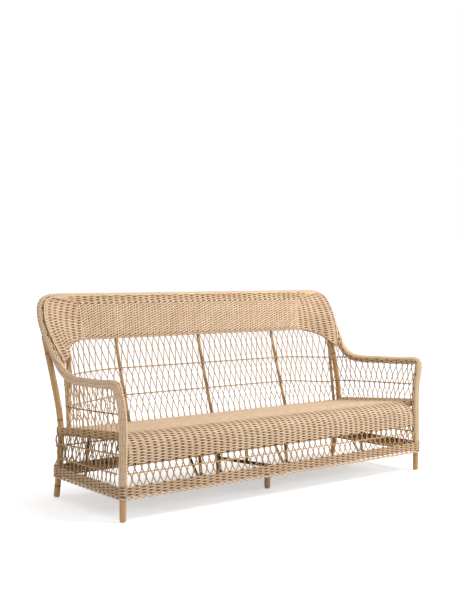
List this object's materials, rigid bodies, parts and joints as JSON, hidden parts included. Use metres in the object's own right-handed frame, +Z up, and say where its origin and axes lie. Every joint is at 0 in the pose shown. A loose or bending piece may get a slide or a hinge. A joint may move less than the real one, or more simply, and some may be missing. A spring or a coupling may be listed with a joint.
{
  "type": "garden sofa",
  "caption": "Garden sofa of bent rattan poles with a woven cane seat, a closed weave on the upper back and wings, and open lattice below it, under the arms and down to the apron.",
  "frame": {"origin": "middle of the footprint's bounding box, on the floor", "axes": "+X to the sofa's right as seen from the front, -Y out of the front, +Z up"},
  "size_m": [1.898, 0.7707, 0.9374],
  "materials": {
    "pole": "bare rattan pole, satin",
    "wrap": "cane wound round the poles, matte",
    "weave": "closely woven cane, matte",
    "lattice": "open cane lattice, matte",
    "glide": "moulded, matte"
  },
  "bodies": {
    "root": {"apron_front": "weave", "apron_rear": "weave", "apron_side_left": "weave", "apron_side_right": "weave", "arm_lattice_left": "lattice", "arm_lattice_right": "lattice", "arm_pole_left": "pole", "arm_pole_right": "pole", "arm_wrap_left": "wrap", "arm_wrap_right": "wrap", "back_corner_lattice_left": "lattice", "back_corner_lattice_right": "lattice", "back_lattice": "lattice", "back_upright_centre": "pole", "back_upright_left": "pole", "back_upright_right": "pole", "back_weave": "weave", "base_rail_front": "pole", "base_rail_rear": "pole", "base_rail_side_left": "pole", "base_rail_side_right": "pole", "centre_stretcher": "pole", "corner_upright_left": "pole", "corner_upright_right": "pole", "front_centre_glide": "glide", "front_centre_leg": "pole", "front_glide_left": "glide", "front_glide_right": "glide", "front_lattice": "lattice", "front_strut_centre": "pole", "front_strut_left": "pole", "front_strut_right": "pole", "rear_centre_glide": "glide", "rear_centre_leg": "pole", "rear_glide_left": "glide", "rear_glide_right": "glide", "rear_lattice": "lattice", "rear_post_left": "pole", "rear_post_right": "pole", "seat_brace_centre": "pole", "seat_brace_left": "pole", "seat_brace_right": "pole", "seat_prop": "pole", "seat_rail_nose": "pole", "seat_rail_rear": "pole", "seat_rail_side_left": "pole", "seat_rail_side_right": "pole", "seat_rail_skirt": "pole", "seat_rib_centre": "pole", "seat_rib_left": "pole", "seat_rib_right": "pole", "seat_weave": "weave", "side_lattice_left": "lattice", "side_lattice_right": "lattice", "side_strut_left": "pole", "side_strut_right": "pole", "top_rail": "pole", "top_rail_wrap": "wrap", "wing_weave_left": "weave", "wing_weave_right": "weave"}
  },
  "joints": []
}
